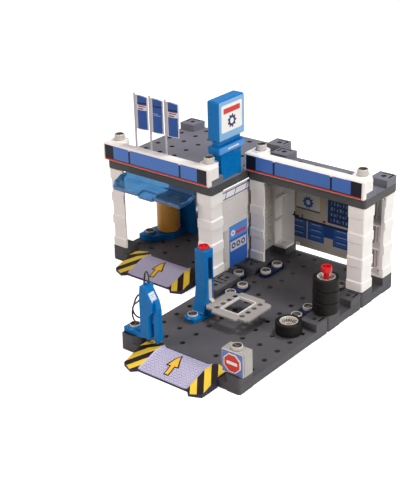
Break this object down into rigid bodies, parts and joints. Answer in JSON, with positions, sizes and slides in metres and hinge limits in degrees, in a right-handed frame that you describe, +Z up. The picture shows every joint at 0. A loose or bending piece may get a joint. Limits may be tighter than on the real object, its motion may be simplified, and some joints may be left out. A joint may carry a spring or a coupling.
{
  "type": "toy garage",
  "caption": "Toy garage set with a car wash and a service bay on screwed floor plates, a screw lift, fuel pump, ramps, stop sign, flags and a stack of spare wheels.",
  "frame": {"origin": "middle of the whole object's footprint, on the ground", "axes": "+X to the right seen from the ramps, +Y to the back, +Z up"},
  "size_m": [0.4731, 0.5102, 0.33],
  "materials": {
    "grey_floor": "moulded ABS, fine grain",
    "grey_roof": "moulded ABS, fine grain",
    "white_plastic": "moulded ABS, satin",
    "brick_grey": "moulded ABS with brick relief",
    "blue_plastic": "moulded ABS, satin",
    "navy_plastic": "moulded ABS, satin",
    "red_plastic": "moulded ABS, glossy",
    "silver_plastic": "moulded ABS, light grey",
    "clear_blue": "translucent polystyrene",
    "amber_roller": "textured drum",
    "lavender_plastic": "moulded ABS with a printed face",
    "platform_grey": "moulded ABS",
    "carriage_grey": "moulded ABS",
    "tyre_rubber": "moulded soft PVC",
    "rim_plastic": "moulded ABS, pearl",
    "black_hose": "soft PVC tube"
  },
  "bodies": {
    "base": {"base_plate_front": "grey_floor", "base_plate_mid": "grey_floor", "base_plate_back": "grey_floor", "base_plate_wash": "grey_floor", "roof_plate_wash": "grey_roof", "roof_plate_bay": "grey_roof", "wash_column_front_left": "white_plastic", "wash_column_front_right": "white_plastic", "wash_column_back_right": "white_plastic", "wash_column_back_left": "white_plastic", "bay_column_front_left": "white_plastic", "bay_column_front_right": "white_plastic", "bay_column_back_right": "white_plastic", "bay_column_back_left": "white_plastic", "wash_wall_right": "white_plastic", "bay_wall_left": "brick_grey", "bay_wall_back": "white_plastic", "wash_fascia": "white_plastic", "bay_fascia": "white_plastic", "wash_roof_screw_left": "silver_plastic", "wash_roof_screw_right": "silver_plastic", "bay_roof_screw_left": "silver_plastic", "bay_roof_screw_right": "silver_plastic", "connector_1": "navy_plastic", "connector_2": "navy_plastic", "connector_3": "navy_plastic", "connector_4": "navy_plastic", "connector_5": "navy_plastic", "wash_stand": "blue_plastic", "lift_column": "blue_plastic", "ramp_front": "lavender_plastic", "ramp_wash": "lavender_plastic", "pump_body": "blue_plastic", "pump_hose": "black_hose", "stop_sign_box": "blue_plastic", "stop_sign_plate": "red_plastic", "stand_screw": "silver_plastic", "lift_foot_screw": "silver_plastic", "pump_screw": "silver_plastic", "stop_sign_screw": "silver_plastic", "wheel_post": "red_plastic", "sign_base": "blue_plastic", "sign_box": "blue_plastic", "flag_1": "blue_plastic", "flag_2": "blue_plastic", "flag_3": "blue_plastic"},
    "canopy_tray": {"canopy": "clear_blue"},
    "roller": {"wash_roller": "amber_roller"},
    "lift_table": {"lift_carriage": "carriage_grey", "lift_platform": "platform_grey"},
    "lead_screw": {"lift_screw": "red_plastic"},
    "wheel_1": {"tyre_1": "tyre_rubber", "rim_1": "rim_plastic"},
    "wheel_2": {"tyre_2": "tyre_rubber", "rim_2": "rim_plastic"},
    "wheel_3": {"tyre_3": "tyre_rubber", "rim_3": "rim_plastic"},
    "loose_wheel": {"tyre_loose": "tyre_rubber", "rim_loose": "rim_plastic"}
  },
  "joints": [
    {"name": "canopy_swing", "type": "hinge", "parent": "base", "child": "canopy_tray", "pos_m": [-0.11705, 0.02772, 0.1717], "axis": [1, 0, 0], "range_deg": [-10, 62]},
    {"name": "roller_spin", "type": "hinge", "parent": "base", "child": "roller", "pos_m": [-0.19839, 0.13903, 0.0256], "axis": [0, 0, 1], "continuous": true},
    {"name": "lift_raise", "type": "slide", "parent": "base", "child": "lift_table", "axis": [0, 0, 1], "range_m": [0, 0.04]},
    {"name": "lift_screw_turn", "type": "hinge", "parent": "base", "child": "lead_screw", "pos_m": [0.05061, -0.06316, 0.1312], "axis": [0, 0, 1], "range_deg": [0, 1440]},
    {"name": "wheel_1_spin", "type": "hinge", "parent": "base", "child": "wheel_1", "pos_m": [0.21495, 0.03942, 0.0279], "axis": [0, 0, 1], "continuous": true},
    {"name": "wheel_2_spin", "type": "hinge", "parent": "base", "child": "wheel_2", "pos_m": [0.21495, 0.03942, 0.0484], "axis": [0, 0, 1], "continuous": true},
    {"name": "wheel_3_spin", "type": "hinge", "parent": "base", "child": "wheel_3", "pos_m": [0.21495, 0.03942, 0.0689], "axis": [0, 0, 1], "continuous": true},
    {"name": "loose_wheel_lift", "type": "slide", "parent": "base", "child": "loose_wheel", "axis": [0, 0, 1], "range_m": [0, 0.04]}
  ],
  "couplings": [
    {"joint": "lift_screw_turn", "follows": "lift_raise", "rad_per_m": 628.3}
  ]
}
